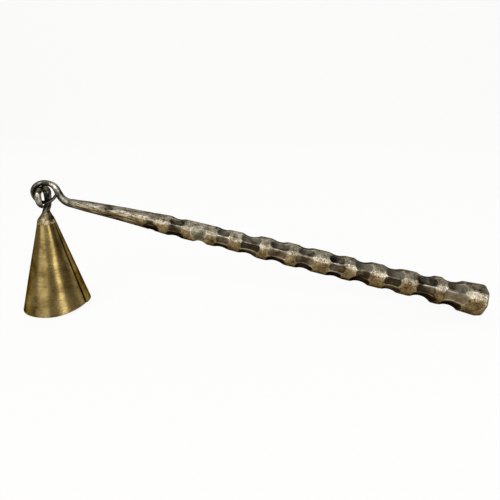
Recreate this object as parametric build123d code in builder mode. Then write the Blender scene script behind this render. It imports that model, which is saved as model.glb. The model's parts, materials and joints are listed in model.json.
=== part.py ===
from build123d import *
import math
import os

os.makedirs("parts", exist_ok=True)

# Candle snuffer: a sheet brass bell held by its eye in the eye of a hammered handle. Millimetres.
# The bell stands on its mouth with the mouth's centre at the origin, the handle leans away
# along +X and its butt rests on the same surface.

# Bell: a cone rolled from sheet, with a lap seam
mouth_d = 38.0          # outside, at the rim
cone_h = 50.5           # rim to the cut top of the sheet
cone_top_d = 9.8        # outside, at the cut top
sheet_t = 0.9
lap_angle = -6.0        # where the outer edge of the lap shows, from +X
lap_arc = 70.0          # how far round the outer layer takes to sink into the cone
lap_step_h = 0.4        # how far the outer edge stands proud, hammered down and filed

# Bell eye: a rod whose upper end is curled into a ring, across the handle
stem_show_h = 2.1       # stem in sight, from the braze to the ring
eye_offset_x = 0.4      # plane of the ring
ring_offset_y = -0.1    # middle of the ring
ring_r = 4.7            # ring's mean radius
rod_d = 2.9
stem_d = 3.6
stem_offset = 2.1       # stem to the ring's middle, along Y
stem_sweep_r = 8.0      # bend from the stem into the ring
stem_below_h = 3.0      # how far the stem shows under the top of the sheet
stem_taper_h = 1.2
ring_end_angle = 246.0  # where the curl stops, from +Y
ring_end_chamfer = 0.6

# Braze: the dome that closes the cone's top round the stem
collar_overhang = 0.2   # past the cone's edge
collar_h = 5.8
collar_mid_d = 7.8
collar_mid_h = 2.6
collar_lip_d = 4.4
plug_depth = 1.5
braze_gap = 0.05

# Link: the handle's eye lies over the bell's eye
link_gap = 0.2

# Handle: one forged bar; its girths are across the flats
flats = 8

# Handle eye and neck, from the crown that lies on the bell's eye
crown_d = 2.8
crown_r = 8.9           # mean radius of the crown
crown_offset = 3.05     # middle of the crown's curve, from the link's axis
crown_left_turn = 51.0
crown_right_turn = 22.0
curl_r = 5.05           # tighter curve down the far side and under the link
curl_turn = 137.0
bar_d = 2.0             # lowest part of the curl
return_r = 8.8          # flatter curve from there up to the tip
return_turn = 60.0
tip_d = 1.2
shoulder_r = 4.5
riser_slope = 55.0      # the riser falls this much from the grip's line
shoulder_d = 3.1
riser_length = 4.0
riser_d = 3.8
neck_r = 6.6
neck_d = 4.4
shank_cant = 2.0        # the shank climbs this much towards the grip
foot_length = 10.0
foot_d = 5.8
shank_length = 32.0
shank_d = 8.5           # where the grip starts

# Grip: an eight-sided bar, ringed by hammered scoops
notch_count = 12
first_notch_offset = 4.6  # from the start of the grip
notch_pitch = 13.5
notch_growth = 0.43     # each pitch is this much longer than the one before
first_scoop_depth = 0.9
last_scoop_depth = 1.8
scoop_r = 7.0
butt_length = 15.4      # last notch to the end
first_boss_d = 10.0
middle_boss_count = 5   # boss where the grip has reached its middle girth
middle_boss_d = 12.5
flare_boss_count = 8    # boss where the flare to the butt starts
flare_boss_d = 12.6
butt_d = 16.8
butt_edge_r = 1.5

# Sizes that follow from these
mouth_r = mouth_d / 2
cone_top_r = cone_top_d / 2
cone_lean = math.atan((mouth_r - cone_top_r) / cone_h)
wall = sheet_t / math.cos(cone_lean)
rod_r = rod_d / 2
ring_z = cone_h + collar_h + stem_show_h + rod_r + ring_r
stem_y = ring_offset_y + stem_offset
sweep_side = stem_offset + stem_sweep_r
sweep_turn = math.degrees(math.acos(sweep_side / (ring_r + stem_sweep_r)))
stem_top = ring_z - (ring_r + stem_sweep_r) * math.sin(math.radians(sweep_turn))
stem_foot = cone_h - stem_below_h
collar_d = cone_top_d + 2 * collar_overhang
link_z = ring_z + ring_r
flat_turn = 360 / flats
corner = 1 / math.cos(math.radians(flat_turn / 2))  # the bar's corner radius over its flat radius


def polar(radius, angle):
    """Point at a radius and an angle in degrees."""
    return (radius * math.cos(math.radians(angle)), radius * math.sin(math.radians(angle)))


def along(points, place):
    """Straight interpolation in a list of (place, size)."""
    for (p0, s0), (p1, s1) in zip(points, points[1:]):
        if place <= p1:
            return s0 + (s1 - s0) * (place - p0) / (p1 - p0)
    return points[-1][1]


# Cone: a turned shell, and on it the outer layer of the lap, which thins out round the cone
with BuildPart() as bell_cone:
    with BuildSketch(Plane.XZ):
        with BuildLine():
            Polyline(
                (mouth_r, 0),
                (cone_top_r, cone_h),
                (cone_top_r - wall, cone_h),
                (mouth_r - wall, 0),
                close=True,
            )
        make_face()
    revolve(axis=Axis.Z)
    for height, radius in ((0, mouth_r), (cone_h, cone_top_r)):
        sheet_middle = radius - wall / 2
        lap_end = lap_angle + lap_arc
        lap_half = lap_angle + lap_arc / 2
        with BuildSketch(Plane.XY.offset(height)):
            with BuildLine():
                Line(polar(sheet_middle, lap_angle), polar(radius + lap_step_h, lap_angle))
                ThreePointArc(
                    polar(radius + lap_step_h, lap_angle),
                    polar((radius + lap_step_h + sheet_middle) / 2, lap_half),
                    polar(sheet_middle, lap_end),
                )
                ThreePointArc(
                    polar(sheet_middle, lap_end),
                    polar(sheet_middle, lap_half),
                    polar(sheet_middle, lap_angle),
                )
            make_face()
    loft(ruled=True)

# Rod: stem, bend and ring in one plane across the handle
ring_plane = Plane(origin=(eye_offset_x, ring_offset_y, 0), x_dir=(0, 1, 0), z_dir=(1, 0, 0))
with BuildPart() as bell_eye:
    with BuildLine(ring_plane) as rod_path:
        stem_line = Line((stem_offset, stem_foot), (stem_offset, stem_top))
        sweep_arc = JernArc(stem_line @ 1, stem_line % 1, stem_sweep_r, -sweep_turn)
        ring_arc = JernArc(sweep_arc @ 1, sweep_arc % 1, ring_r, sweep_turn + ring_end_angle)
    with BuildSketch(Plane(origin=(eye_offset_x, stem_y, stem_foot))):
        Circle(rod_r)
    sweep(path=rod_path.wire())
    ring_end = bell_eye.faces().filter_by(GeomType.PLANE).sort_by(Axis.Z)[-1]
    chamfer(ring_end.edges(), length=ring_end_chamfer)
    with BuildSketch(Plane(origin=(eye_offset_x, stem_y, stem_foot))):
        Circle(stem_d / 2)
    extrude(amount=stem_top - stem_taper_h - stem_foot)
    with BuildSketch(Plane(origin=(eye_offset_x, stem_y, stem_top - stem_taper_h))):
        Circle(stem_d / 2)
    with BuildSketch(Plane(origin=(eye_offset_x, stem_y, stem_top))):
        Circle(rod_r)
    loft()

# Braze: a dome on the cut top of the sheet, with a plug inside it, run round the stem
with BuildPart() as braze_collar:
    for rise, width, share in (
        (0, collar_d, 0),
        (collar_mid_h, collar_mid_d, collar_mid_h / collar_h),
        (collar_h, collar_lip_d, 1),
    ):
        with BuildSketch(Plane(origin=(eye_offset_x * share, stem_y * share, cone_h + rise))):
            Circle(width / 2)
    loft()
    with BuildSketch(Plane.XY.offset(cone_h)):
        Circle(cone_top_r - wall - braze_gap)
    extrude(amount=-plug_depth)
    with BuildSketch(Plane(origin=(eye_offset_x, stem_y, cone_h - plug_depth))):
        Circle(stem_d / 2 + braze_gap)
    extrude(amount=plug_depth + collar_h, mode=Mode.SUBTRACT)

# Handle, drawn with the link's axis as zero and its grip level, then leant until the butt rests
link_to_crown = crown_r - crown_d / 2 * corner - rod_r - link_gap
crown_middle = (crown_offset, -math.sqrt(link_to_crown**2 - crown_offset**2))
shoulder_turn = riser_slope - crown_right_turn
handle_plane = Plane(origin=(eye_offset_x, 0, link_z), x_dir=(1, 0, 0), z_dir=(0, -1, 0))


def handle_spine(plane):
    """Runs of the handle's rod from the crown to the tip and from the crown to the grip."""
    with BuildLine(plane):
        left_arc = CenterArc(crown_middle, crown_r, 90, crown_left_turn)
        curl_arc = JernArc(left_arc @ 1, left_arc % 1, curl_r, curl_turn)
        return_arc = JernArc(curl_arc @ 1, curl_arc % 1, return_r, return_turn)
        right_arc = CenterArc(crown_middle, crown_r, 90, -crown_right_turn)
        shoulder_arc = JernArc(right_arc @ 1, right_arc % 1, shoulder_r, -shoulder_turn)
        riser_line = PolarLine(shoulder_arc @ 1, riser_length, direction=shoulder_arc % 1)
        neck_arc = JernArc(riser_line @ 1, riser_line % 1, neck_r, riser_slope + shank_cant)
        foot_line = PolarLine(neck_arc @ 1, foot_length, direction=neck_arc % 1)
        shank_line = PolarLine(foot_line @ 1, shank_length, direction=foot_line % 1)
    curl_side = (left_arc, curl_arc, return_arc)
    grip_side = (right_arc, shoulder_arc, riser_line, neck_arc, foot_line, shank_line)
    return curl_side, grip_side


level_end = handle_plane.to_local_coords(handle_spine(handle_plane)[1][-1] @ 1)
grip_x = level_end.X
grip_y = level_end.Y
notches = [
    grip_x + first_notch_offset + notch_pitch * n + notch_growth * n * (n - 1) / 2
    for n in range(notch_count)
]
bosses = [(a + b) / 2 for a, b in zip(notches, notches[1:])]
butt_x = notches[-1] + butt_length
girth = [
    (grip_x, shank_d),
    (bosses[0], first_boss_d),
    (bosses[middle_boss_count], middle_boss_d),
    (bosses[flare_boss_count], flare_boss_d),
    (butt_x, butt_d),
]
rest_x = butt_x - butt_edge_r
rest_y = butt_d / 2 * corner - grip_y - butt_edge_r
lean = math.asin((link_z - butt_edge_r) / math.hypot(rest_x, rest_y)) - math.atan2(rest_y, rest_x)
grip_dir = (math.cos(lean), 0, -math.sin(lean))
handle_plane = Plane(origin=(eye_offset_x, 0, link_z), x_dir=grip_dir, z_dir=(0, -1, 0))
curl_runs, neck_runs = handle_spine(handle_plane)
grip_axis = Axis(handle_plane.from_local_coords((0, grip_y)), grip_dir)


def girth_point(x, depth=0.0):
    """Point of the grip's half outline, sunk by a depth."""
    return (x, along(girth, x) / 2 - depth)


with BuildPart() as handle:
    # Grip: the outline between two opposite flats, pushed through across each pair of flats
    for side in range(flats // 2):
        across = handle_plane.z_dir.rotate(grip_axis, flat_turn * (side + 0.5))
        with BuildSketch(Plane(grip_axis.position, x_dir=grip_dir, z_dir=across).offset(-butt_d)):
            with BuildLine():
                edge_point = girth_point(grip_x)
                Line((grip_x, 0), edge_point)
                for n, station in enumerate(notches):
                    depth_share = n / (notch_count - 1)
                    depth = first_scoop_depth + (last_scoop_depth - first_scoop_depth) * depth_share
                    half = math.sqrt(depth * (2 * scoop_r - depth))
                    scoop_end = girth_point(station + half)
                    Line(edge_point, girth_point(station - half))
                    ThreePointArc(girth_point(station - half), girth_point(station, depth), scoop_end)
                    edge_point = girth_point(bosses[n]) if n < len(bosses) else girth_point(butt_x)
                    Line(scoop_end, edge_point)
                Line(edge_point, (butt_x, 0))
                mirror(about=Plane.XZ)
            make_face()
        extrude(amount=2 * butt_d, mode=Mode.INTERSECT if side else Mode.ADD)
    butt_face = handle.faces().sort_by(grip_axis)[-1]
    fillet(butt_face.edges(), radius=butt_edge_r)

    # Curl, neck and shank: one tapering eight-sided rod along lines and arcs, from the tip to the grip
    curl_girths = (crown_d, (crown_d + bar_d) / 2, bar_d, tip_d)
    neck_girths = (crown_d, crown_d, shoulder_d, riser_d, neck_d, foot_d, shank_d)
    curl_steps = (5, 10, 5)
    neck_steps = (2, 4, 1, 5, 1, 1)
    curl = list(zip(curl_runs, curl_girths, curl_girths[1:], curl_steps))
    for run, near_d, far_d, steps in reversed(curl):
        for step in range(steps, 0, -1):
            spot = step / steps
            with BuildSketch(Plane(origin=run @ spot, x_dir=(0, 1, 0), z_dir=run % spot * -1)):
                RegularPolygon((near_d + (far_d - near_d) * spot) / 2, flats, major_radius=False)
    for run, near_d, far_d, steps in zip(neck_runs, neck_girths, neck_girths[1:], neck_steps):
        for step in range(steps):
            spot = step / steps
            with BuildSketch(Plane(origin=run @ spot, x_dir=(0, 1, 0), z_dir=run % spot)):
                RegularPolygon((near_d + (far_d - near_d) * spot) / 2, flats, major_radius=False)
    with BuildSketch(Plane(origin=neck_runs[-1] @ 1, x_dir=(0, 1, 0), z_dir=grip_dir)):
        RegularPolygon(shank_d / 2, flats, major_radius=False)
    loft(ruled=True)

bell_cone.part.label = "bell_cone"
export_step(bell_cone.part, "parts/bell_cone.step")
bell_eye.part.label = "bell_eye"
export_step(bell_eye.part, "parts/bell_eye.step")
braze_collar.part.label = "braze_collar"
export_step(braze_collar.part, "parts/braze_collar.step")
handle.part.label = "handle"
export_step(handle.part, "parts/handle.step")

print(f"handle leans {math.degrees(lean):.2f} degrees, link at {eye_offset_x:.2f}, 0, {link_z:.2f}")
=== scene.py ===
import json
import math

import bmesh
import bpy
import numpy as np
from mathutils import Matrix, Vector


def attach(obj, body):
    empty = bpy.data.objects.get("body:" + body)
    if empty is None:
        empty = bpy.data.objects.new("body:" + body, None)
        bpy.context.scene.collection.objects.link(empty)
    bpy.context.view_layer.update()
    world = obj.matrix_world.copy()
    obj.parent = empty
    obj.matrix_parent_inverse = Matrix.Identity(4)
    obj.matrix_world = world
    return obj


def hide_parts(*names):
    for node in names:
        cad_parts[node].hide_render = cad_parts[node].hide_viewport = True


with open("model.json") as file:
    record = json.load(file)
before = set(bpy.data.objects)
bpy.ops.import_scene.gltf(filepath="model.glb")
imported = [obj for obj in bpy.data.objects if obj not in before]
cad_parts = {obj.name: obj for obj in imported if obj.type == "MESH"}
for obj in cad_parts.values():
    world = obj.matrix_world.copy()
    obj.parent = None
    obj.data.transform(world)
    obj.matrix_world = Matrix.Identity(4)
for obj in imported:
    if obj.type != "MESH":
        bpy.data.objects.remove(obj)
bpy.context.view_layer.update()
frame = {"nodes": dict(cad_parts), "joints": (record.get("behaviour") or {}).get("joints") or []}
scene = bpy.context.scene
mm = 0.001
calc, mapRange = "ShaderNodeMath", "ShaderNodeMapRange"  # the two nodes used most
link = np.array(frame["joints"][0]["pos_m"]) / mm  # where the two eyes bear on each other
print("frame loaded:", ", ".join(sorted(frame["nodes"])))


def linear(hexColor):  # sRGB hex to the linear colour that nodes take
    channels = [int(hexColor[n:n + 2], 16) / 255 for n in (1, 3, 5)]
    return [*(c / 12.92 if c <= 0.04045 else ((c + 0.055) / 1.055) ** 2.4 for c in channels), 1.0]


def addNode(tree, kind, inputs=None, **settings):  # an input is a value, a socket or a node's own output
    node = tree.nodes.new(kind)
    for name, value in settings.items():
        setattr(node, name, value)
    for name, value in (inputs or {}).items():
        if isinstance(value, bpy.types.Node):
            value = next(o for o in value.outputs if o.enabled)
        if isinstance(value, bpy.types.NodeSocket):
            tree.links.new(value, node.inputs[name])
        else:
            node.inputs[name].default_value = value
    return node


def setRamp(node, stops):  # stops of (place, hex colour)
    ramp = node.color_ramp
    while len(ramp.elements) < len(stops):
        ramp.elements.new(1.0)
    for element, (place, color) in zip(ramp.elements, stops):
        element.position = place
        element.color = linear(color)
    return node


def newMaterial(name):
    material = bpy.data.materials.new(name)
    material.use_nodes = True
    material.node_tree.nodes.clear()
    return material, material.node_tree


def finishMetal(tree, color, rough, bump, edge):
    shader = addNode(tree, "ShaderNodeBsdfPrincipled",
                     {"Base Color": color, "Metallic": 1.0, "Roughness": rough, "Normal": bump,
                      "Specular Tint": linear(edge)})
    addNode(tree, "ShaderNodeOutputMaterial", {"Surface": shader})


def keepPiece(name, mesh, body, node):
    piece = bpy.data.objects.new(name, mesh)
    scene.collection.objects.link(piece)
    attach(piece, body)
    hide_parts(node)
    print(f"{name}: {len(mesh.vertices)} points, {len(mesh.polygons)} faces")


def perMm(size):  # texture scale in object metres for a detail of that many millimetres
    return 1 / (size * mm)


# Forged brass, blackened and rubbed back: hollows stay dark, high spots are pale and pitted,
# and the upper side is painted paler and the underside a darker golden brown, as painted light and shade
handleFinish = {
    # each boss and hollow finish has a paler copy for the upper side, painted light, and a darker golden brown
    # copy for the underside, painted shade
    "bossTop": [(0.37, "#3b3529"), (0.45, "#787061"), (0.53, "#9b9381"), (0.64, "#d7d0bf")],
    "bossUnder": [(0.37, "#281e0e"), (0.45, "#5f4d2e"), (0.55, "#806c48"), (0.66, "#ad9b75")],
    "hollowTop": [(0.38, "#29241d"), (0.49, "#4a443b"), (0.62, "#726b5f")],
    "hollowUnder": [(0.34, "#2f2518"), (0.47, "#51442f"), (0.62, "#75674e")],
    "dish": [(0.38, "#4c4a3e"), (0.49, "#6b695a"), (0.62, "#8e8b7a")],
    "eye": [(0.34, "#38362e"), (0.47, "#827e71"), (0.62, "#bab6a8")],
    # the pale of rubbed ridges and rims, also used for the painted highlight at the butt's edge
    "worn": "#cfc6b2",
    "edge": "#6e6656",         # tarnish dulls the metal where it is seen edge on
    "blotch": 5.0,             # mm
    "speckle": 0.8,            # mm, coarser than the real grain so that it shows
    "streak": (9.0, 0.7),      # mm along and across the drawn shank
    "streakLean": 13.38,       # degrees
    "pit": 1.4,                # mm apart
    "pitDepth": 0.12,          # mm
    # the side share paints the hollows lighter towards the top: painted light
    "hollowShares": {"blotch": 0.85, "grain": 0.15, "side": 0.22, "tint": 0.32},
    "hollowBase": -0.24,
    "gripFrom": (-6, 4),       # mm along the grip, where streaks give way to speckles
    "dullFrom": (-10, 4),      # mm, the shank is duller up to here
    "dullShade": 0.66,
    "paintedShadeFrom": (-0.35, -0.8),  # share of the way down over which the underside is darkened: painted shade
    "paintedShadeStrength": 0.65,
    "eyeFrom": (-36, -49),     # mm before the grip, where the black of the eye comes in
    "curlFrom": (-80, -61),    # mm, the curl's end is darkest
    "curlShade": 0.3,
    "buttEdge": (191.8, 1.2),  # mm along the grip and to each side, a pale band round the butt's edge: painted highlight
}


def hammeredBrass():
    f = handleFinish
    material, tree = newMaterial("antiquedHammeredBrass")
    place = addNode(tree, "ShaderNodeTexCoord").outputs["Object"]
    scoop, ridge, dish, side, run, tint = (
        addNode(tree, "ShaderNodeAttribute", attribute_name=name).outputs["Fac"]
        for name in ("scoop", "ridge", "dish", "side", "run", "tint"))
    blotch = addNode(tree, "ShaderNodeTexNoise",
                     {"Vector": place, "Scale": perMm(f["blotch"]), "Detail": 4, "Roughness": 0.6})
    speckle = addNode(tree, "ShaderNodeTexNoise",
                      {"Vector": place, "Scale": perMm(f["speckle"]), "Detail": 3, "Roughness": 0.65})
    drawn = addNode(tree, "ShaderNodeMapping",
                    {"Vector": place, "Rotation": (0, math.radians(f["streakLean"]), 0),
                     "Scale": [f["streak"][n] * mm for n in (0, 1, 1)]}, vector_type="TEXTURE")
    streak = addNode(tree, "ShaderNodeTexNoise", {"Vector": drawn, "Scale": 1.0, "Detail": 3, "Roughness": 0.6})
    # the shank is streaked, the grip is speckled
    gripFrom, dullFrom, eyeFrom, curlFrom = (
        [spot * mm for spot in f[name]] for name in ("gripFrom", "dullFrom", "eyeFrom", "curlFrom"))
    onGrip = addNode(tree, mapRange, {"Value": run, 1: gripFrom[0], 2: gripFrom[1]})
    grain = addNode(tree, "ShaderNodeMix", {0: onGrip, 2: streak, 3: speckle})
    share = addNode(tree, mapRange, {"Value": onGrip, 3: 0.75, 4: 0.5})
    tone = addNode(tree, "ShaderNodeMix", {0: share, 2: blotch, 3: grain})
    # the shank is the more uneven of the two
    tone = addNode(tree, calc, {0: tone, 1: 0.5}, operation="SUBTRACT")
    gain = addNode(tree, mapRange, {"Value": onGrip, 3: 1.7, 4: 1.0})
    tone = addNode(tree, calc, {0: tone, 1: gain, 2: 0.5}, operation="MULTIPLY_ADD")
    # share of the darker underside copy, by how far down the point faces, broken by blotches: painted shade
    paintedShadeShare = addNode(tree, calc, {0: blotch, 1: 0.3, 2: side}, operation="MULTIPLY_ADD")
    paintedShadeShare = addNode(tree, mapRange, {"Value": paintedShadeShare, 1: 0.56, 2: 0.34})
    # hollows vary by blow, and are painted lighter towards the top as painted light
    smooth = f["hollowBase"]
    for name, value in (("blotch", blotch), ("grain", grain), ("side", side), ("tint", tint)):
        smooth = addNode(tree, calc, {0: value, 1: f["hollowShares"][name], 2: smooth},
                         operation="MULTIPLY_ADD")
    ramps = {name: setRamp(addNode(tree, "ShaderNodeValToRGB", {"Fac": value}), f[name])
             for name, value in (("bossTop", tone), ("bossUnder", tone), ("hollowTop", smooth),
                                 ("hollowUnder", smooth), ("dish", smooth), ("eye", smooth))}
    # paler upper and darker lower copies mixed by that share: painted light and shade
    boss, hollow = (
        addNode(tree, "ShaderNodeMix", {0: paintedShadeShare, 6: ramps[f"{name}Top"], 7: ramps[f"{name}Under"]},
                data_type="RGBA") for name in ("boss", "hollow"))
    inHollow = addNode(tree, calc, {0: speckle, 1: 0.5, 2: scoop}, operation="MULTIPLY_ADD")
    inHollow = addNode(tree, mapRange, {"Value": inHollow, 1: 0.5, 2: 1.0})
    color = addNode(tree, "ShaderNodeMix", {0: inHollow, 6: boss, 7: hollow}, data_type="RGBA")
    bare = addNode(tree, calc, {0: dish, 1: 0.75}, operation="MULTIPLY")
    color = addNode(tree, "ShaderNodeMix", {0: bare, 6: color, 7: ramps["dish"]}, data_type="RGBA")
    # ridges between hollows, and the rims of the hollows, are rubbed bright
    rim = addNode(tree, calc, {0: 1.0, 1: scoop}, operation="SUBTRACT")
    rim = addNode(tree, calc, {0: rim, 1: scoop}, operation="MULTIPLY")
    rim = addNode(tree, calc, {0: rim, 1: 1.2, 2: ridge}, operation="MULTIPLY_ADD", use_clamp=True)
    lip = addNode(tree, calc, {0: 1.0, 1: dish}, operation="SUBTRACT")
    lip = addNode(tree, calc, {0: lip, 1: dish}, operation="MULTIPLY")
    rim = addNode(tree, calc, {0: lip, 1: 2.0, 2: rim}, operation="MULTIPLY_ADD", use_clamp=True)
    # a pale band round the butt's edge: painted highlight
    edgeAt, edgeHalf = (size * mm for size in f["buttEdge"])
    paintedButtHighlight = addNode(tree, calc, {0: run, 1: edgeAt, 2: edgeHalf}, operation="COMPARE")
    rim = addNode(tree, calc, {0: paintedButtHighlight, 1: 0.5, 2: rim}, operation="MULTIPLY_ADD", use_clamp=True)
    wearBreakAndPaintedShade = addNode(tree, mapRange, {"Value": blotch, 1: 0.42, 2: 0.6, 3: 0.15, 4: 0.9})
    rim = addNode(tree, calc, {0: rim, 1: wearBreakAndPaintedShade}, operation="MULTIPLY")
    # no pale rims on the side facing down: painted shade
    wearBreakAndPaintedShade = addNode(tree, mapRange, {"Value": side, 1: -0.5, 2: -0.1, 3: 0.0, 4: 1.0})
    rim = addNode(tree, calc, {0: rim, 1: wearBreakAndPaintedShade}, operation="MULTIPLY")
    color = addNode(tree, "ShaderNodeMix", {0: rim, 6: color, 7: linear(f["worn"])}, data_type="RGBA")
    # pits keep their black
    pits = addNode(tree, "ShaderNodeTexVoronoi", {"Vector": place, "Scale": perMm(f["pit"]), "Randomness": 1.0})
    pits = addNode(tree, mapRange, {"Value": pits.outputs["Distance"], 1: 0.06, 2: 0.3})
    spot = addNode(tree, "ShaderNodeMix", {0: inHollow, 2: pits, 3: 1.0})
    spot = addNode(tree, mapRange, {"Value": spot, 3: 0.3, 4: 1.0})
    # the shank is duller than the grip, and the lowest side is darkened as painted shade
    dull = addNode(tree, mapRange,
                   {"Value": run, 1: dullFrom[0], 2: dullFrom[1], 3: f["dullShade"], 4: 1.0})
    # painted shade: the side facing down is darkened
    low = addNode(tree, mapRange,
                  {"Value": side, 1: f["paintedShadeFrom"][0], 2: f["paintedShadeFrom"][1], 3: 1.0, 4: f["paintedShadeStrength"]})
    for shade in (spot, dull, low):
        color = addNode(tree, "ShaderNodeMix", {0: 1.0, 6: color, 7: shade}, data_type="RGBA",
                        blend_type="MULTIPLY")
    # the eye is black, darker towards the curl's end, and painted with a pale band where it faces front and
    # darker where it faces up and down: painted highlight and shade
    atEye = addNode(tree, mapRange, {"Value": run, 1: eyeFrom[0], 2: eyeFrom[1]})
    # painted highlight and shade: full colour where the bar faces front, half where it faces straight up or down
    front = addNode(tree, calc, {0: side, 1: 0.1}, operation="SUBTRACT")
    front = addNode(tree, calc, {0: front}, operation="ABSOLUTE")
    front = addNode(tree, mapRange, {"Value": front, 1: 0.3, 2: 0.85, 3: 1.0, 4: 0.5})
    eye = addNode(tree, "ShaderNodeMix", {0: 1.0, 6: ramps["eye"], 7: front}, data_type="RGBA",
                  blend_type="MULTIPLY")
    color = addNode(tree, "ShaderNodeMix", {0: atEye, 6: color, 7: eye}, data_type="RGBA")
    shade = addNode(tree, mapRange,
                    {"Value": run, 1: curlFrom[0], 2: curlFrom[1], 3: f["curlShade"], 4: 1.0})
    color = addNode(tree, "ShaderNodeMix", {0: 1.0, 6: color, 7: shade}, data_type="RGBA", blend_type="MULTIPLY")
    rough = addNode(tree, mapRange, {"Value": tone, 1: 0.35, 2: 0.65, 3: 0.36, 4: 0.5})
    worn = addNode(tree, mapRange, {"Value": onGrip, 3: 0.75, 4: 1.0})
    rough = addNode(tree, calc, {0: rough, 1: worn}, operation="MULTIPLY")
    rough = addNode(tree, "ShaderNodeMix", {0: inHollow, 2: rough, 3: 0.42})
    rough = addNode(tree, "ShaderNodeMix", {0: atEye, 2: rough, 3: 0.26})
    relief = addNode(tree, calc, {0: grain, 1: 0.8, 2: pits}, operation="MULTIPLY_ADD")
    raised = addNode(tree, mapRange, {"Value": inHollow, 3: 1.0, 4: 0.06})
    relief = addNode(tree, calc, {0: relief, 1: raised}, operation="MULTIPLY")
    bump = addNode(tree, "ShaderNodeBump", {"Height": relief, "Distance": f["pitDepth"] * mm, "Strength": 0.7})
    finishMetal(tree, color, rough, bump, f["edge"])
    return material


# Rolled brass sheet, satin and a little tarnished: olive gold with brown clouds and fine marks across
sheetFinish = {
    "tarnish": "#4d3f20",
    "gold": "#7b693f",
    "light": "#9b8859",
    "stain": "#352a12",
    "edge": "#807a6a",             # tarnish dulls the metal where it is seen edge on
    "cloud": 9.0,                  # mm
    "mark": 0.35,                  # mm between marks, across the cone
    "markRun": 6.0,                # mm along a mark
    "markDepth": 0.03,             # mm
    "stainSize": (1.6, 1.6, 0.8),  # mm, flat dashes
    "rough": (0.36, 0.27),         # where it is dark and where it is light
}
# The same sheet inside the bell: never rubbed, brown black from candle smoke
insideFinish = dict(sheetFinish, tarnish="#1a140a", gold="#382c17", light="#5a4a2b", stain="#0f0b06",
                    rough=(0.6, 0.45))


def sheetBrass(name, f):
    material, tree = newMaterial(name)
    place = addNode(tree, "ShaderNodeTexCoord").outputs["Object"]
    cloud = addNode(tree, "ShaderNodeTexNoise",
                    {"Vector": place, "Scale": perMm(f["cloud"]), "Detail": 4, "Roughness": 0.55})
    stretch = [perMm(f["markRun"]), perMm(f["markRun"]), perMm(f["mark"])]
    across = addNode(tree, "ShaderNodeMapping", {"Vector": place, "Scale": stretch})
    marks = addNode(tree, "ShaderNodeTexNoise", {"Vector": across, "Scale": 1.0, "Detail": 3, "Roughness": 0.6})
    stretch = [perMm(size) for size in f["stainSize"]]
    dashes = addNode(tree, "ShaderNodeMapping", {"Vector": place, "Scale": stretch})
    stain = addNode(tree, "ShaderNodeTexNoise",
                    {"Vector": dashes, "Scale": 1.0, "Detail": 4, "Roughness": 0.65})
    stain = addNode(tree, calc, {0: cloud, 1: -0.35, 2: stain}, operation="MULTIPLY_ADD")
    toneFac = addNode(tree, calc, {0: marks, 1: 0.5, 2: cloud}, operation="MULTIPLY_ADD")
    color = setRamp(addNode(tree, "ShaderNodeValToRGB", {"Fac": toneFac}),
                    [(0.52, f["tarnish"]), (0.74, f["gold"]), (0.98, f["light"])])
    stainFac = addNode(tree, mapRange, {"Value": stain, 1: 0.40, 2: 0.52, 4: 0.75})
    color = addNode(tree, "ShaderNodeMix", {0: stainFac, 6: color, 7: linear(f["stain"])}, data_type="RGBA")
    rough = addNode(tree, mapRange,
                    {"Value": toneFac, 1: 0.4, 2: 0.9, 3: f["rough"][0], 4: f["rough"][1]})
    bump = addNode(tree, "ShaderNodeBump", {"Height": marks, "Distance": f["markDepth"] * mm, "Strength": 0.5})
    finishMetal(tree, color, rough, bump, f["edge"])
    return material


# Brass rod, forged and blackened: gun-metal grey, olive black where it isn't rubbed, painted paler on the ring's
# near limb as a painted highlight
rodFinish = {
    "black": "#0f0d09",
    "olive": "#4a463a",
    # pale end of the ramp: rubbed metal, and the painted highlight on the near limb
    "rubbedAndLit": "#aaa592",
    "edge": "#4a463a",
    "blotch": 2.6,                  # mm
    "grain": 0.5,                   # mm
    "grainDepth": 0.06,             # mm
    "paintedHighlightAt": (0.5, -6.0, 66.0),  # mm, the near limb of the ring, centre of the painted highlight
    "paintedHighlightReach": (2, 5),          # mm from there
    "paintedHighlightTone": (0.14, -0.06),    # there and away from it: painted highlight near, painted shade away
}


def blackenedRodBrass():
    f = rodFinish
    material, tree = newMaterial("blackenedRodBrass")
    place = addNode(tree, "ShaderNodeTexCoord").outputs["Object"]
    blotch = addNode(tree, "ShaderNodeTexNoise",
                     {"Vector": place, "Scale": perMm(f["blotch"]), "Detail": 4, "Roughness": 0.6})
    grain = addNode(tree, "ShaderNodeTexNoise",
                    {"Vector": place, "Scale": perMm(f["grain"]), "Detail": 2, "Roughness": 0.6})
    tone = addNode(tree, calc, {0: grain, 1: 0.4, 2: blotch}, operation="MULTIPLY_ADD")
    # the near limb is painted paler as a painted highlight, the rest darker as painted shade
    away = addNode(tree, "ShaderNodeVectorMath", {0: place, 1: [c * mm for c in f["paintedHighlightAt"]]},
                   operation="DISTANCE")
    near, far = (reach * mm for reach in f["paintedHighlightReach"])
    rubbedAndLit = addNode(tree, mapRange, {"Value": away.outputs["Value"], 1: near, 2: far,
                                      3: f["paintedHighlightTone"][0], 4: f["paintedHighlightTone"][1]})
    tone = addNode(tree, calc, {0: tone, 1: rubbedAndLit}, operation="ADD")
    color = setRamp(addNode(tree, "ShaderNodeValToRGB", {"Fac": tone}),
                    [(0.45, f["black"]), (0.66, f["olive"]), (0.92, f["rubbedAndLit"])])
    rough = addNode(tree, mapRange, {"Value": grain, 1: 0.3, 2: 0.7, 3: 0.2, 4: 0.36})
    bump = addNode(tree, "ShaderNodeBump", {"Height": tone, "Distance": f["grainDepth"] * mm, "Strength": 0.6})
    finishMetal(tree, color, rough, bump, f["edge"])
    return material


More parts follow.
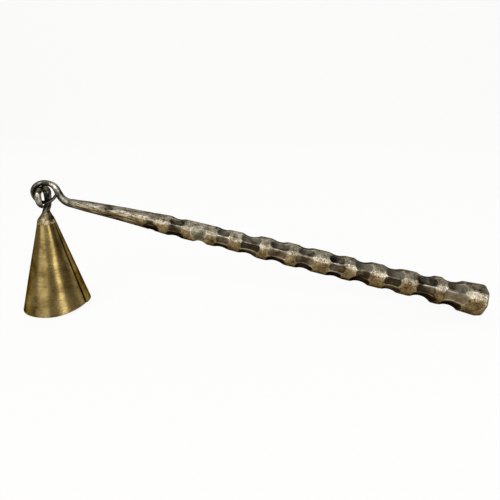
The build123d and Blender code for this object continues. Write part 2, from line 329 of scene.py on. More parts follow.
# Braze as it ran: lumpy, pale grey gold with dark flux stains
brazeFinish = {
    "flux": "#3a3220",
    "gold": "#9c8c64",
    "pale": "#d8cdae",
    "soot": "#2b2118",
    "edge": "#8a7c5c",
    "lump": 1.5,           # mm
    "grain": 0.45,         # mm
    "lumpDepth": 0.15,     # mm
    "rough": 0.4,
    "neck": (54.4, 57.0),  # mm up, sooty towards the stem
    "flank": (1.2, 4.2),   # mm aside, sooty on this side
    "foot": (51.2, 53.0),  # mm up, above which that side is sooty
}


def runBraze():
    f = brazeFinish
    material, tree = newMaterial("runBraze")
    place = addNode(tree, "ShaderNodeTexCoord").outputs["Object"]
    lump = addNode(tree, "ShaderNodeTexNoise",
                   {"Vector": place, "Scale": perMm(f["lump"]), "Detail": 3, "Roughness": 0.6})
    grain = addNode(tree, "ShaderNodeTexNoise",
                    {"Vector": place, "Scale": perMm(f["grain"]), "Detail": 2, "Roughness": 0.5})
    tone = addNode(tree, calc, {0: grain, 1: 0.5, 2: lump}, operation="MULTIPLY_ADD")
    color = setRamp(addNode(tree, "ShaderNodeValToRGB", {"Fac": tone}),
                    [(0.52, f["flux"]), (0.72, f["gold"]), (0.95, f["pale"])])
    # soot from brazing, towards the stem and on one flank
    x, _, z = addNode(tree, "ShaderNodeSeparateXYZ", {"Vector": place}).outputs
    neck, flank, foot = (
        addNode(tree, mapRange,
                {"Value": value, 1: f[name][0] * mm, 2: f[name][1] * mm, 4: most})
        for name, value, most in (("neck", z, 1.0), ("flank", x, 0.85), ("foot", z, 1.0)))
    flank = addNode(tree, calc, {0: flank, 1: foot}, operation="MULTIPLY")
    soot = addNode(tree, calc, {0: neck, 1: flank}, operation="MAXIMUM")
    soot = addNode(tree, calc, {0: lump, 1: 0.8, 2: soot}, operation="MULTIPLY_ADD")
    soot = addNode(tree, mapRange, {"Value": soot, 1: 0.4, 2: 1.2, 4: 0.95})
    color = addNode(tree, "ShaderNodeMix", {0: soot, 6: color, 7: linear(f["soot"])}, data_type="RGBA")
    bump = addNode(tree, "ShaderNodeBump", {"Height": tone, "Distance": f["lumpDepth"] * mm, "Strength": 0.8})
    finishMetal(tree, color, f["rough"], bump, f["edge"])
    return material


# Handle: one bar, curled into an eye at the thin end. Sizes in mm, in its own plane from the link,
# x along the grip and y up; a run is (length, turn in degrees) and its girth at the end.
def arc(radius, turn):
    return radius * math.radians(abs(turn)), turn


handleSize = {
    "lean": 13.15,               # the grip falls this much
    "crownTop": (3.05, 4.08),    # highest point of the curl
    "crownGirth": 3.2,
    "curl": [(*arc(8.9, 51), 2.85), (*arc(5.05, 137), 2.2), (*arc(8.8, 67), 1.6)],
    "neck": [(*arc(7.6, -22), 3.5), (*arc(4.5, -33), 3.9), (3.2, 0, 4.2), (*arc(7.7, 57), 4.8),
             (10.0, 0, 6.3), (32.0, -2, 9.2)],
    "grip": [(13.5, 0, 10.9), (38.0, 0, 11.2), (18.0, 0, 12.8), (63.0, 0, 13.4), (21.0, 0, 14.2),
             (17.0, 0, 15.8), (22.6, 0, 18.7)],
    "buttEdge": 1.7,
    "tipEdge": 0.6,
    "buttRun": 16.0,             # length of the butt, past the last scoops
    "step": 0.42,                # between rings of points
    "sides": 128,                # points round
    "facets": 8,
    "facetTurn": 5.625,          # the flats are turned up by this much
    "shankFlat": 0.94,           # flats over the bar's round girth, on the shank, the grip and the butt
    "gripFlat": 0.982,
    "buttFlat": 0.95,
    "gripBlend": (-12, 6),       # along the grip, from the shank's flats to its own
    "buttBlend": 6.0,            # and on to the butt's
    "notches": 12,
    "firstNotch": 4.6,
    "pitch": 13.5,
    "growth": 0.43,              # each pitch is this much longer
    "firstDepth": 0.95,
    "lastDepth": 1.75,
    "scoopRadius": 10.0,
    "ringShift": [-0.2, 0.0, -1.2, -1.7, -1.4, -0.6, -1.2, 0.7, -1.6, -0.9, 0.0, -1.8],  # uneven by hand
    "ringDepth": [0.3, 1.1, 0.0, 0.85, 1.2, 1.1, 1.05, 0.8, 0.9, 0.85, 1.2, 1.2],
    # single blows: along, round, length, width, depth, and whether the black is left in
    "strays": [(4.8, -38, 9.6, 7.6, 0.85, True), (10.8, 44, 2.2, 1.7, 0.35, True),
               (31.0, 15, 9.2, 9.0, 0.7, False), (32.6, -72, 7.5, 8.0, 1.3, True),
               (90.4, -24, 7.0, 5.5, 0.7, True), (123.0, -24, 6.5, 5.5, 0.7, True)],
    "softness": 0.14,            # worn ridges
    "ridgeWidth": 0.5,
    "hollowFull": 0.3,           # depth at which a hollow is black, and two of them meet in a ridge
    "ridgeFull": 0.4,
    "shankRidge": (2, -6, 0.7),  # from and to, along the grip, and how bright the shank's corners are
    "alongJitter": 0.55,
    "depthJitter": 0.25,
    "lumpHeight": 0.22,
    "lumpSize": 5.0,
    "seed": 11,
}


def walk(point, heading, runs, girth, step):  # points and girths along straight runs and arcs
    points, girths = [np.array(point, float)], [girth]
    for length, turn, endGirth in runs:
        count = max(1, round(length / step))
        startGirth = girths[-1]
        for n in range(count):
            heading += math.radians(turn) / count / 2
            points.append(points[-1] + length / count * np.array((math.cos(heading), math.sin(heading))))
            heading += math.radians(turn) / count / 2
            girths.append(startGirth + (endGirth - startGirth) * (n + 1) / count)
    return points, girths


def roundEnds(points, girths, first, last):  # quarter-round edges at the two ends
    place = np.concatenate(([0], np.cumsum(np.linalg.norm(np.diff(points, axis=0), axis=1))))
    radii = np.array(girths) / 2
    for edge, fromEnd in ((first, place), (last, place[-1] - place)):
        inside = np.clip(1 - fromEnd / edge, 0, 1)
        radii = radii - edge * (1 - np.sqrt(1 - inside ** 2))
    return place, np.maximum(radii, 0.05)


def handleTree(s):
    tree = bpy.data.node_groups.new("hammeredBar", "GeometryNodeTree")
    tree.interface.new_socket("Spine", in_out="INPUT", socket_type="NodeSocketObject")
    for name in ("Sides", "Notches", "Seed"):
        tree.interface.new_socket(name, in_out="INPUT", socket_type="NodeSocketInt")
    for name in ("Grip Start", "Butt Start", "Facet Turn", "Shank Flat", "Grip Flat", "Butt Flat", "First Notch",
                 "Pitch", "Growth", "First Depth", "Last Depth", "Scoop Radius", "Softness", "Ridge Width",
                 "Along Jitter", "Depth Jitter", "Lump Height", "Lump Size"):
        tree.interface.new_socket(name, in_out="INPUT", socket_type="NodeSocketFloat")
    tree.interface.new_socket("Material", in_out="INPUT", socket_type="NodeSocketMaterial")
    tree.interface.new_socket("Geometry", in_out="OUTPUT", socket_type="NodeSocketGeometry")
    given = addNode(tree, "NodeGroupInput").outputs

    # a tube along the spine, which remembers its middle, its way, its length and its girth
    spine = addNode(tree, "GeometryNodeObjectInfo", {"Object": given["Spine"]}).outputs["Geometry"]
    memory = addNode(tree, "GeometryNodeCaptureAttribute", {"Geometry": spine})
    for n, (kind, name, field) in enumerate((
            ("VECTOR", "middle", addNode(tree, "GeometryNodeInputPosition").outputs[0]),
            ("VECTOR", "way", addNode(tree, "GeometryNodeInputTangent").outputs[0]),
            ("FLOAT", "along", addNode(tree, "GeometryNodeSplineParameter").outputs["Length"]),
            ("FLOAT", "girth", addNode(tree, "GeometryNodeInputRadius").outputs[0]))):
        memory.capture_items.new(kind, name)
        tree.links.new(field, memory.inputs[n + 1])
    middle, way, along, girth = memory.outputs[1:5]
    ring = addNode(tree, "GeometryNodeCurvePrimitiveCircle", {"Resolution": given["Sides"]}).outputs["Curve"]
    tube = addNode(tree, "GeometryNodeCurveToMesh",
                   {"Curve": memory.outputs[0], "Profile Curve": ring, "Fill Caps": True})

    # angle round the bar, from the side that faces -Y
    position = addNode(tree, "GeometryNodeInputPosition")
    outward = addNode(tree, "ShaderNodeVectorMath", {0: position, 1: middle}, operation="SUBTRACT")
    outward = addNode(tree, "ShaderNodeVectorMath", {0: outward}, operation="NORMALIZE")
    upward = addNode(tree, "ShaderNodeVectorMath", {0: (0, -1, 0), 1: way}, operation="CROSS_PRODUCT")
    high = addNode(tree, "ShaderNodeVectorMath", {0: outward, 1: upward}, operation="DOT_PRODUCT")
    front = addNode(tree, "ShaderNodeVectorMath", {0: outward, 1: (0, -1, 0)}, operation="DOT_PRODUCT")
    angle = addNode(tree, calc, {0: high.outputs["Value"], 1: front.outputs["Value"]},
                    operation="ARCTAN2")

    # the two nearest notches, from a pitch that grows
    place = addNode(tree, calc, {0: along, 1: given["Grip Start"]}, operation="SUBTRACT")
    fromFirst = addNode(tree, calc, {0: place, 1: given["First Notch"]}, operation="SUBTRACT")
    early = addNode(tree, calc, {0: given["Growth"], 1: -0.5, 2: given["Pitch"]},
                    operation="MULTIPLY_ADD")
    twice = addNode(tree, calc, {0: given["Growth"], 1: 2.0}, operation="MULTIPLY")
    root = addNode(tree, calc, {0: early, 1: early}, operation="MULTIPLY")
    root = addNode(tree, calc, {0: twice, 1: fromFirst, 2: root}, operation="MULTIPLY_ADD")
    root = addNode(tree, calc, {0: root, 1: 0.0}, operation="MAXIMUM")
    root = addNode(tree, calc, {0: root}, operation="SQRT")
    before = addNode(tree, calc, {0: root, 1: early}, operation="SUBTRACT")
    before = addNode(tree, calc, {0: before, 1: given["Growth"]}, operation="DIVIDE")
    before = addNode(tree, calc, {0: before}, operation="FLOOR")
    last = addNode(tree, calc, {0: given["Notches"], 1: 1.0}, operation="SUBTRACT")
    notches = []
    for ahead in (0.0, 1.0):
        number = addNode(tree, calc, {0: before, 1: ahead}, operation="ADD")
        number = addNode(tree, "ShaderNodeClamp", {"Value": number, "Max": last})
        grown = addNode(tree, calc, {0: number, 1: 1.0}, operation="SUBTRACT")
        grown = addNode(tree, calc, {0: grown, 1: number}, operation="MULTIPLY")
        grown = addNode(tree, calc, {0: grown, 1: 0.5}, operation="MULTIPLY")
        station = addNode(tree, calc, {0: number, 1: given["Pitch"]}, operation="MULTIPLY")
        station = addNode(tree, calc, {0: grown, 1: given["Growth"], 2: station},
                          operation="MULTIPLY_ADD")
        uneven = []
        for values in ([shift * mm for shift in s["ringShift"]], s["ringDepth"]):
            pick = addNode(tree, "GeometryNodeIndexSwitch", {"Index": number}, data_type="FLOAT")
            for n, value in enumerate(values):
                if n >= len(pick.index_switch_items):
                    pick.index_switch_items.new()
                pick.inputs[n + 1].default_value = value
            uneven.append(pick)
        away = addNode(tree, calc, {0: fromFirst, 1: station}, operation="SUBTRACT")
        away = addNode(tree, calc, {0: away, 1: uneven[0]}, operation="SUBTRACT")
        share = addNode(tree, calc, {0: number, 1: last}, operation="DIVIDE")
        depth = addNode(tree, "ShaderNodeMix", {0: share, 2: given["First Depth"], 3: given["Last Depth"]})
        depth = addNode(tree, calc, {0: depth, 1: uneven[1]}, operation="MULTIPLY")
        notches.append((number, away, depth))

    # the flat that a point lies on and the next one, for the bar itself and for the scoops, which were
    # struck on its corners
    facets = s["facets"]
    turn = 2 * math.pi / facets
    flatPairs, tiltPairs, nearness = [], [], []
    for shift in (0.0, turn / 2):
        turned = addNode(tree, calc, {0: angle, 1: given["Facet Turn"]}, operation="SUBTRACT")
        turned = addNode(tree, calc, {0: turned, 1: shift}, operation="SUBTRACT")
        facet = addNode(tree, calc, {0: turned, 1: turn}, operation="DIVIDE")
        facet = addNode(tree, calc, {0: facet}, operation="FLOOR")
        offset = addNode(tree, calc, {0: facet, 1: 0.5}, operation="ADD")
        offset = addNode(tree, calc, {0: offset, 1: -turn, 2: turned}, operation="MULTIPLY_ADD")
        toNext = addNode(tree, calc, {0: offset}, operation="SIGN")
        flatPairs.append((facet, addNode(tree, calc, {0: facet, 1: toNext}, operation="ADD")))
        tilts = []
        for which in flatPairs[-1]:
            tilt = addNode(tree, calc, {0: which, 1: 0.5}, operation="ADD")
            tilt = addNode(tree, calc, {0: tilt, 1: -turn, 2: turned}, operation="MULTIPLY_ADD")
            tilts.append(addNode(tree, calc, {0: tilt}, operation="COSINE"))
        tiltPairs.append(tilts)
        apart = addNode(tree, calc, {0: offset}, operation="ABSOLUTE")
        apart = addNode(tree, calc, {0: turn / 2, 1: apart}, operation="SUBTRACT")
        apart = addNode(tree, calc, {0: apart, 1: girth}, operation="MULTIPLY")
        apart = addNode(tree, calc, {0: apart, 1: given["Ridge Width"]}, operation="DIVIDE")
        near = addNode(tree, calc, {0: 1.0, 1: apart}, operation="SUBTRACT", use_clamp=True)
        nearness.append(near)
    blendFrom, blendTo = (spot * mm for spot in s["gripBlend"])
    flat = addNode(tree, mapRange,
                   {"Value": place, 1: blendFrom, 2: blendTo, 3: given["Shank Flat"], 4: given["Grip Flat"]})
    pastNotches = addNode(tree, calc, {0: place, 1: given["Butt Start"]}, operation="SUBTRACT")
    flat = addNode(tree, mapRange,
                   {"Value": pastNotches, 1: 0.0, 2: s["buttBlend"] * mm, 3: flat, 4: given["Butt Flat"]})
    flat = addNode(tree, calc, {0: girth, 1: flat}, operation="MULTIPLY")
    against = addNode(tree, calc, {0: given["Along Jitter"], 1: -1.0}, operation="MULTIPLY")
    least = addNode(tree, calc, {0: 1.0, 1: given["Depth Jitter"]}, operation="SUBTRACT")
    most = addNode(tree, calc, {0: 1.0, 1: given["Depth Jitter"]}, operation="ADD")
    otherSeed = addNode(tree, calc, {0: given["Seed"], 1: 1.0}, operation="ADD")
    thirdSeed = addNode(tree, calc, {0: given["Seed"], 1: 2.0}, operation="ADD")
    plain = [addNode(tree, calc, {0: flat, 1: tilt}, operation="DIVIDE") for tilt in tiltPairs[0]]
    cut, depths, tints = [], [], []
    for which, tilt in zip(flatPairs[1], tiltPairs[1]):
        wrapped = addNode(tree, calc, {0: which, 1: float(facets)}, operation="FLOORED_MODULO")
        sunk, tint = 0.0, 0.5
        for number, away, depth in notches:
            blow = addNode(tree, calc, {0: number, 1: float(facets), 2: wrapped},
                           operation="MULTIPLY_ADD")
            shift = addNode(tree, "FunctionNodeRandomValue",
                            {2: against, 3: given["Along Jitter"], "ID": blow, "Seed": given["Seed"]},
                            data_type="FLOAT")
            strength = addNode(tree, "FunctionNodeRandomValue",
                               {2: least, 3: most, "ID": blow, "Seed": otherSeed}, data_type="FLOAT")
            shade = addNode(tree, "FunctionNodeRandomValue", {"ID": blow, "Seed": thirdSeed}, data_type="FLOAT")
            bow = addNode(tree, calc, {0: away, 1: shift}, operation="SUBTRACT")
            bow = addNode(tree, calc, {0: bow, 1: bow}, operation="MULTIPLY")
            bow = addNode(tree, calc, {0: bow, 1: given["Scoop Radius"]}, operation="DIVIDE")
            blow = addNode(tree, calc, {0: depth, 1: strength}, operation="MULTIPLY")
            blow = addNode(tree, calc, {0: bow, 1: -0.5, 2: blow}, operation="MULTIPLY_ADD")
            deeper = addNode(tree, calc, {0: blow, 1: sunk}, operation="GREATER_THAN")
            tint = addNode(tree, "ShaderNodeMix", {0: deeper, 2: tint, 3: shade})
            sunk = addNode(tree, calc, {0: blow, 1: sunk}, operation="MAXIMUM")
        height = addNode(tree, calc, {0: girth, 1: sunk}, operation="SUBTRACT")
        cut.append(addNode(tree, calc, {0: height, 1: tilt}, operation="DIVIDE"))
        depths.append(sunk)
        tints.append(tint)
    whole, reach = (addNode(tree, calc, {0: pair[0], 1: pair[1], 2: given["Softness"]},
                            operation="SMOOTH_MIN") for pair in (plain, cut))
    whole = addNode(tree, calc, {0: whole, 1: girth, 2: given["Softness"]}, operation="SMOOTH_MIN")
    reach = addNode(tree, calc, {0: whole, 1: reach, 2: given["Softness"]}, operation="SMOOTH_MIN")
    dish = 0.0
    for start, around, length, width, depth, black in s["strays"]:  # single blows beside the rings
        lengthwise = addNode(tree, calc, {0: place, 1: start * mm}, operation="SUBTRACT")
        lengthwise = addNode(tree, calc, {0: lengthwise, 1: length / 2 * mm}, operation="DIVIDE")
        lengthwise = addNode(tree, calc, {0: lengthwise, 1: lengthwise}, operation="MULTIPLY")
        across = addNode(tree, calc, {0: angle, 1: math.radians(around)}, operation="SUBTRACT")
        across = addNode(tree, calc, {0: across, 1: girth}, operation="MULTIPLY")
        across = addNode(tree, calc, {0: across, 1: width / 2 * mm}, operation="DIVIDE")
        inside = addNode(tree, calc, {0: across, 1: across, 2: lengthwise},
                         operation="MULTIPLY_ADD")
        inside = addNode(tree, calc, {0: 1.0, 1: inside}, operation="SUBTRACT", use_clamp=True)
        reach = addNode(tree, calc, {0: inside, 1: -depth * mm, 2: reach}, operation="MULTIPLY_ADD")
        if not black:
            whole = addNode(tree, calc, {0: inside, 1: -depth * mm, 2: whole},
                            operation="MULTIPLY_ADD")
            inside = addNode(tree, calc, {0: inside, 1: 4.0}, operation="MULTIPLY", use_clamp=True)
            dish = addNode(tree, calc, {0: inside, 1: dish}, operation="MAXIMUM")

    # what the finish reads: how far into a hollow, how near a ridge, how far round and how far along
    gone = addNode(tree, calc, {0: whole, 1: reach}, operation="SUBTRACT")
    scoop = addNode(tree, calc, {0: gone, 1: s["hollowFull"] * mm}, operation="DIVIDE", use_clamp=True)
    both = addNode(tree, calc, {0: depths[0], 1: depths[1]}, operation="MINIMUM")
    both = addNode(tree, calc, {0: both, 1: s["ridgeFull"] * mm}, operation="DIVIDE", use_clamp=True)
    ridgeFrom, ridgeTo, bright = s["shankRidge"]
    onShank = addNode(tree, mapRange,
                      {"Value": place, 1: ridgeFrom * mm, 2: ridgeTo * mm, 4: bright})
    onBar = addNode(tree, calc, {0: nearness[0], 1: onShank}, operation="MULTIPLY")
    ridge = addNode(tree, calc, {0: nearness[1], 1: both}, operation="MULTIPLY")
    ridge = addNode(tree, calc, {0: ridge, 1: onBar}, operation="MAXIMUM")
    side = addNode(tree, calc, {0: angle}, operation="SINE")
    lumpScale = addNode(tree, calc, {0: 1.0, 1: given["Lump Size"]}, operation="DIVIDE")
    lump = addNode(tree, "ShaderNodeTexNoise", {"Vector": position, "Scale": lumpScale, "Detail": 2.0})
    lump = addNode(tree, calc, {0: lump, 1: 0.5}, operation="SUBTRACT")
    reach = addNode(tree, calc, {0: lump, 1: given["Lump Height"], 2: reach},
                    operation="MULTIPLY_ADD")

    moved = addNode(tree, "ShaderNodeVectorMath", {0: outward, "Scale": reach}, operation="SCALE")
    moved = addNode(tree, "ShaderNodeVectorMath", {0: moved, 1: middle}, operation="ADD")
    shape = tube
    for name, value in (("scoop", scoop), ("ridge", ridge), ("dish", dish), ("side", side), ("run", place),
                        ("tint", tints[0])):
        shape = addNode(tree, "GeometryNodeStoreNamedAttribute",
                        {"Geometry": shape, "Name": name, "Value": value}, data_type="FLOAT", domain="POINT")
    shape = addNode(tree, "GeometryNodeSetPosition", {"Geometry": shape, "Position": moved})
    shape = addNode(tree, "GeometryNodeSetShadeSmooth", {"Geometry": shape})
    shape = addNode(tree, "GeometryNodeRealizeInstances", {"Geometry": shape})
    shape = addNode(tree, "GeometryNodeSetMaterial", {"Geometry": shape, "Material": given["Material"]})
    addNode(tree, "NodeGroupOutput", {"Geometry": shape})
    return tree


def makeHandle():
    s = handleSize
    curl, curlGirths = walk(s["crownTop"], math.pi, s["curl"], s["crownGirth"], s["step"])
    neck, neckGirths = walk(s["crownTop"], 0.0, s["neck"], s["crownGirth"], s["step"])
    grip, gripGirths = walk(neck[-1], 0.0, s["grip"], neckGirths[-1], s["step"])
    points = np.array(curl[::-1] + neck[1:] + grip[1:])
    place, radii = roundEnds(points, curlGirths[::-1] + neckGirths[1:] + gripGirths[1:],
                             s["tipEdge"], s["buttEdge"])
    gripStart = place[len(curl) + len(neck) - 2]
    lean = math.radians(s["lean"])
    curve = bpy.data.curves.new("handleSpine", "CURVE")
    curve.dimensions = "3D"
    spline = curve.splines.new("POLY")
    spline.points.add(len(points) - 1)
    for point, (x, y), radius in zip(spline.points, points, radii):
        point.co = (*((link + (x * math.cos(lean) + y * math.sin(lean), 0,
                               y * math.cos(lean) - x * math.sin(lean))) * mm), 1)
        point.radius = radius * mm
    spine = bpy.data.objects.new("handleSpine", curve)
    scene.collection.objects.link(spine)

    carrier = bpy.data.objects.new("handleCarrier", bpy.data.meshes.new("handleCarrier"))
    scene.collection.objects.link(carrier)
    modifier = carrier.modifiers.new("hammeredBar", "NODES")
    modifier.node_group = handleTree(s)
    values = {"Spine": spine, "Sides": s["sides"], "Grip Start": gripStart * mm, "Notches": s["notches"],
              "First Notch": s["firstNotch"] * mm, "Pitch": s["pitch"] * mm, "Growth": s["growth"] * mm,
              "First Depth": s["firstDepth"] * mm, "Last Depth": s["lastDepth"] * mm,
              "Scoop Radius": s["scoopRadius"] * mm, "Shank Flat": s["shankFlat"], "Grip Flat": s["gripFlat"],
              "Butt Flat": s["buttFlat"], "Butt Start": (place[-1] - gripStart - s["buttRun"]) * mm,
              "Facet Turn": math.radians(s["facetTurn"]), "Softness": s["softness"] * mm,
              "Ridge Width": s["ridgeWidth"] * mm, "Along Jitter": s["alongJitter"] * mm,
              "Depth Jitter": s["depthJitter"], "Lump Height": s["lumpHeight"] * mm,
              "Lump Size": s["lumpSize"] * mm, "Seed": s["seed"], "Material": hammeredBrass()}
    for item in modifier.node_group.interface.items_tree:
        if item.in_out == "INPUT":
            modifier[item.identifier] = values[item.name]
    evaluated = carrier.evaluated_get(bpy.context.evaluated_depsgraph_get())
    mesh = bpy.data.meshes.new_from_object(evaluated)
    mesh.name = "hammeredHandle"
    carrier.modifiers.remove(modifier)
    for helper in (carrier, spine):
        bpy.data.objects.remove(helper)
    keepPiece("hammeredHandle", mesh, "handle", "handle")


# Bell cone: sheet rolled round and lapped. Sizes in mm, angles in degrees from +X.
coneSize = {
    "mouthRadius": 19.0,
    "topRadius": 4.9,
    "height": 50.5,
    "sheet": 0.9,
    "lapAngle": -6.0,     # outer edge of the lap
    "lapStep": 0.42,      # how proud it stands there
    "lapRun": 70.0,       # over which it sinks in
    "lapUnder": 24.0,     # how far the inner layer runs on under it
    "underDrop": 0.75,
    "rimLift": 0.25,      # the inner edge of the rim stands on the floor
    "rimRise": 2.2,       # the rim is cut short beside the lap
    "rimRiseIn": (-80, 0),
    "rimRiseOut": (30, 130),
    "dropRun": (-6, 4),   # past a full turn, over which the inner layer drops
    "dent": 0.10,         # hand-made waviness
    "bevel": 0.22,        # cut edges
    "bevelOver": 50,
    "columns": 300,
    "rows": 90,
}


def smoothStep(low, high, value):
    t = np.clip((value - low) / (high - low), 0, 1)
    return t * t * (3 - 2 * t)


def meshFromGrid(name, grid, material, closeRound=False):  # rows of points, (rows, columns, 3) in metres
    rows, columns = grid.shape[:2]
    faces = []
    for r in range(rows - 1):
        for c in range(columns if closeRound else columns - 1):
            d = (c + 1) % columns
            faces.append((r * columns + c, r * columns + d, (r + 1) * columns + d, (r + 1) * columns + c))
    mesh = bpy.data.meshes.new(name)
    mesh.from_pydata(grid.reshape(-1, 3).tolist(), [], faces)
    mesh.materials.append(material)
    mesh.shade_smooth()
    return mesh


def closeEnds(mesh):
    shape = bmesh.new()
    shape.from_mesh(mesh)
    bmesh.ops.holes_fill(shape, edges=[e for e in shape.edges if e.is_boundary])
    bmesh.ops.recalc_face_normals(shape, faces=shape.faces)
    shape.to_mesh(mesh)
    shape.free()
    mesh.shade_smooth()


def makeCone():
    s = coneSize
    turn = np.linspace(s["lapAngle"], s["lapAngle"] + 360 + s["lapUnder"], s["columns"])
    rise = np.linspace(0, 1, s["rows"])[:, None]
    early, late = turn - s["lapAngle"], turn - s["lapAngle"] - 360
    proud = s["lapStep"] * (1 - smoothStep(0, s["lapRun"], early))
    proud = proud - s["underDrop"] * smoothStep(*s["dropRun"], late)
    wrapped = (turn + 180) % 360 - 180
    cut = smoothStep(*s["rimRiseIn"], wrapped) * (1 - smoothStep(*s["rimRiseOut"], wrapped))
    cut = s["rimLift"] + s["rimRise"] * cut
    height = cut + (s["height"] - cut) * rise
    angle = np.radians(turn)
    wave = (np.sin(3 * angle + 5 * rise + 0.7) + np.sin(5 * angle - 4 * rise + 2.1)
            + 0.7 * np.sin(8 * angle + 9 * rise)) * s["dent"] / 2.7
    radius = s["mouthRadius"] + (s["topRadius"] - s["mouthRadius"]) * height / s["height"] + proud + wave
    grid = np.stack([radius * np.cos(angle), radius * np.sin(angle), height + 0 * angle], axis=-1) * mm
    mesh = meshFromGrid("lappedCone", grid, sheetBrass("satinSheetBrass", sheetFinish))
    sheet = bpy.data.objects.new("coneSheet", mesh)
    sheet.data.materials.append(sheetBrass("smokedSheetBrass", insideFinish))
    scene.collection.objects.link(sheet)
    thick = sheet.modifiers.new("sheet", "SOLIDIFY")
    thick.thickness = s["sheet"] * mm
    thick.offset = -1
    thick.material_offset = 1
    edge = sheet.modifiers.new("edge", "BEVEL")
    edge.width = s["bevel"] * mm
    edge.segments = 3
    edge.limit_method = "ANGLE"
    edge.angle_limit = math.radians(s["bevelOver"])
    mesh = bpy.data.meshes.new_from_object(sheet.evaluated_get(bpy.context.evaluated_depsgraph_get()))
    mesh.name = "lappedCone"
    mesh.shade_smooth()
    bpy.data.objects.remove(sheet)
    keepPiece("lappedCone", mesh, "bell", "bell_cone")


# Bell eye: a rod bent from its stem into a ring across the handle; (y, z) in mm at x
eyeSize = {
    "x": 0.33,
    "yaw": 9.5,           # the ring is turned a little on its stem
    "stemY": -0.4,
    "stemFoot": 47.6,
    "sweepRadius": 8.0,   # the two bends of the stem, out to the far limb
    "sweepTop": 63.6,
    "ringY": -0.28,
    "ringTop": 69.25,
    "halfWidth": 4.0,
    "shoulders": (2.2, 3.2),  # radii of the ring's far and near upper corners
    "tail": (1.9, 3.7, 90),   # straight part, radius and turn of the free end
    "stemGirth": 3.7,
    "farGirth": 3.8,
    "farTopGirth": 4.4,
    "topGirth": 3.33,     # where the handle's eye bears on it
    "limbGirth": 3.4,
    "tipGirth": 1.4,
    "footEdge": 0.3,
    "tipEdge": 0.6,
    "lump": 0.05,
    "sides": 56,
    "step": 0.25,
}


def eyeRuns(s):
    aside = s["ringY"] + s["halfWidth"] - s["stemY"]
    sweepTurn = math.degrees(math.acos(1 - aside / (2 * s["sweepRadius"])))
    sweepFoot = s["sweepTop"] - 2 * s["sweepRadius"] * math.sin(math.radians(sweepTurn))
    farFlat, nearFlat = (s["halfWidth"] - radius for radius in s["shoulders"])
    return [(sweepFoot - s["stemFoot"], 0, s["stemGirth"]),
            (*arc(s["sweepRadius"], -sweepTurn), s["stemGirth"]),
            (*arc(s["sweepRadius"], sweepTurn), s["farGirth"]),
            (s["ringTop"] - s["shoulders"][0] - s["sweepTop"], 0, s["farTopGirth"]),
            (*arc(s["shoulders"][0], 90), s["topGirth"]), (farFlat + nearFlat, 0, s["topGirth"]),
            (*arc(s["shoulders"][1], 90), s["limbGirth"]), (nearFlat + s["tail"][0], 0, s["limbGirth"]),
            (*arc(*s["tail"][1:]), s["tipGirth"])]


def makeEye():
    s = eyeSize
    points, girths = walk((s["stemY"], s["stemFoot"]), math.pi / 2, eyeRuns(s), s["stemGirth"], s["step"])
    points = np.array(points)
    place, radii = roundEnds(points, girths, s["footEdge"], s["tipEdge"])
    way = np.gradient(points, place, axis=0)
    way /= np.linalg.norm(way, axis=1)[:, None]
    around = np.linspace(0, 2 * math.pi, s["sides"], endpoint=False)
    lump = s["lump"] * (np.sin(3 * around + 0.9 * place[:, None]) + np.sin(0.8 * place[:, None] + 1.0)
                        + 0.6 * np.sin(2 * around - 1.7 * place[:, None]))
    reach = radii[:, None] + lump / 2
    inPlane = reach * np.cos(around)
    across = reach * np.sin(around)
    y = points[:, :1] + way[:, 1:] * inPlane
    z = points[:, 1:] - way[:, :1] * inPlane
    turn = math.radians(s["yaw"])
    x = s["x"] - across * math.cos(turn) + (y - s["ringY"]) * math.sin(turn)
    y = s["ringY"] + (y - s["ringY"]) * math.cos(turn) + across * math.sin(turn)
    grid = np.stack([x, y, z], axis=-1) * mm
    mesh = meshFromGrid("curledEye", grid, blackenedRodBrass(), closeRound=True)
    closeEnds(mesh)
    keepPiece("curledEye", mesh, "bell", "bell_eye")


# Braze: a lumpy dome from the cone's cut top to the stem; (height, radius) in mm
domeSize = {
    "profile": [(49.0, 3.9), (49.9, 4.6), (50.2, 4.98), (50.7, 5.0), (51.4, 4.86), (52.3, 4.48), (53.2, 3.98),
                (54.1, 3.42), (55.0, 2.86), (55.7, 2.44), (56.4, 2.12), (56.9, 1.9), (57.2, 1.7), (57.4, 1.3)],
    "top": (0.5, 0.7),         # the stem's middle
    "topBlend": (50.2, 57.4),  # heights over which the dome leans to it
    "lump": 0.1,
    "lumpFrom": (50.3, 51.2),  # heights where the lumps begin
    "rows": 90,
    "sides": 120,
}


def makeDome():
    s = domeSize
    heights, radii = np.array(s["profile"]).T
    place = np.concatenate(([0], np.cumsum(np.hypot(np.diff(heights), np.diff(radii)))))
    spots = np.linspace(0, place[-1], s["rows"])
    height = np.interp(spots, place, heights)[:, None]
    radius = np.interp(spots, place, radii)[:, None]
    share = smoothStep(*s["topBlend"], height)
    around = np.linspace(0, 2 * math.pi, s["sides"], endpoint=False)
    lump = s["lump"] * smoothStep(*s["lumpFrom"], height) * (
        np.sin(4 * around + 1.9 * height) + np.sin(3 * around - 2.6 * height + 1.0)
        + 0.8 * np.sin(7 * around + 1.3 * height + 2.0)) / 2.8
    grid = np.stack([s["top"][0] * share + (radius + lump) * np.cos(around),
                     s["top"][1] * share + (radius + lump) * np.sin(around),
                     height + 0 * around], axis=-1) * mm
    mesh = meshFromGrid("brazeDome", grid, runBraze(), closeRound=True)
    closeEnds(mesh)
    keepPiece("brazeDome", mesh, "bell", "braze_collar")


makeHandle()
makeCone()
makeEye()
makeDome()
print("pieces made")

# Set: a pale sweep behind and under the snuffer, soft boxes in front, camera as in the photograph
stageSize = {"floorFront": -6.0, "floorBack": 1.1, "bend": 0.5, "wallTop": 0.75, "halfWidth": 6.0,
             "glow": 0.92}  # metres, and how far the paper is seen as white


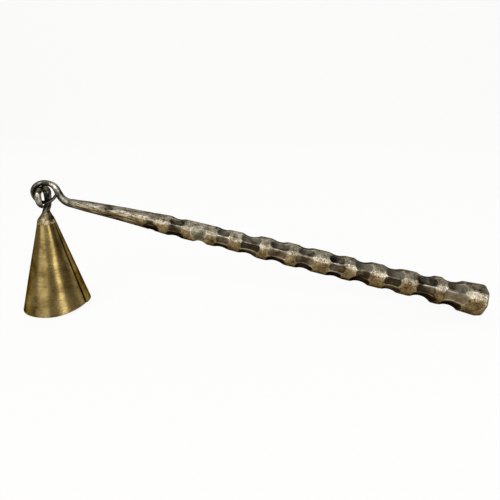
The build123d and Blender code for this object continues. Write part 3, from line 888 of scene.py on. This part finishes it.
def paleSweep():
    material, tree = newMaterial("palePaper")
    path = addNode(tree, "ShaderNodeLightPath").outputs
    seen = addNode(tree, calc, {0: path["Is Camera Ray"], 1: path["Is Glossy Ray"]},
                   operation="MAXIMUM")
    seen = addNode(tree, calc, {0: seen, 1: path["Is Transmission Ray"]}, operation="MAXIMUM")
    glow = addNode(tree, calc, {0: seen, 1: stageSize["glow"]}, operation="MULTIPLY")
    paper = addNode(tree, "ShaderNodeBsdfDiffuse", {"Color": linear("#f4f3f0")})
    white = addNode(tree, "ShaderNodeEmission", {"Color": linear("#ffffff"), "Strength": 1.0})
    mixed = addNode(tree, "ShaderNodeMixShader", {0: glow, 1: paper, 2: white})
    addNode(tree, "ShaderNodeOutputMaterial", {"Surface": mixed})
    return material


def makeStage():
    s = stageSize
    turns = np.linspace(0, math.pi / 2, 16)
    profile = [(s["floorFront"], 0.0)]
    profile += [(s["floorBack"] + s["bend"] * math.sin(a), s["bend"] * (1 - math.cos(a))) for a in turns]
    profile.append((s["floorBack"] + s["bend"], s["wallTop"]))
    grid = np.array([[(x, y, z) for x in (-s["halfWidth"], s["halfWidth"])] for y, z in profile])
    floor = bpy.data.objects.new("sweep", meshFromGrid("sweep", grid, paleSweep()))
    scene.collection.objects.link(floor)


# azimuth and elevation in degrees from the snuffer, distance and size in metres
softBoxes = {
    "leftBox": {"azimuth": -121, "elevation": 14, "distance": 1.1, "size": (0.85, 0.9), "radiance": 1.6},
    "frontStrip": {"azimuth": -49, "elevation": 12, "distance": 1.1, "size": (0.36, 0.7), "radiance": 4.4},
    "frontTop": {"azimuth": -84, "elevation": 34, "distance": 1.1, "size": (1.1, 0.35), "radiance": 4.0},
    "overhead": {"azimuth": 90, "elevation": 84, "distance": 1.8, "size": (2.4, 2.4), "radiance": 0.7},
    "backTop": {"azimuth": 95, "elevation": 42, "distance": 1.2, "size": (1.8, 0.7), "radiance": 0.6},
}


lightsAim = (0.08, 0, 0.05)  # metres, on the snuffer


def makeLights():
    for name, s in softBoxes.items():
        turn, lift = math.radians(s["azimuth"]), math.radians(s["elevation"])
        way = Vector((math.cos(turn) * math.cos(lift), math.sin(turn) * math.cos(lift), math.sin(lift)))
        lamp = bpy.data.lights.new(name, "AREA")
        lamp.shape = "RECTANGLE"
        lamp.size, lamp.size_y = s["size"]
        lamp.energy = s["radiance"] * math.pi * lamp.size * lamp.size_y
        box = bpy.data.objects.new(name, lamp)
        box.location = Vector(lightsAim) + way * s["distance"]
        box.rotation_euler = way.to_track_quat("Z", "Y").to_euler()
        scene.collection.objects.link(box)
    world = bpy.data.worlds.new("dimRoom")
    world.use_nodes = True
    world.node_tree.nodes["Background"].inputs["Color"].default_value = linear("#7f7a70")
    world.node_tree.nodes["Background"].inputs["Strength"].default_value = 1.0
    scene.world = world


cameraSize = {"place": (0.12952, -0.23733, 0.11684), "turn": (71.3, 0.0, 3.548), "lens": 32.4, "sensor": 36.0}


def makeCamera():
    s = cameraSize
    data = bpy.data.cameras.new("camera")
    data.lens, data.sensor_width = s["lens"], s["sensor"]
    data.clip_start = 0.01
    camera = bpy.data.objects.new("camera", data)
    camera.location = s["place"]
    camera.rotation_euler = [math.radians(a) for a in s["turn"]]
    scene.collection.objects.link(camera)
    scene.camera = camera


makeStage()
makeLights()
makeCamera()
scene.view_settings.view_transform = "Standard"
print("set built")
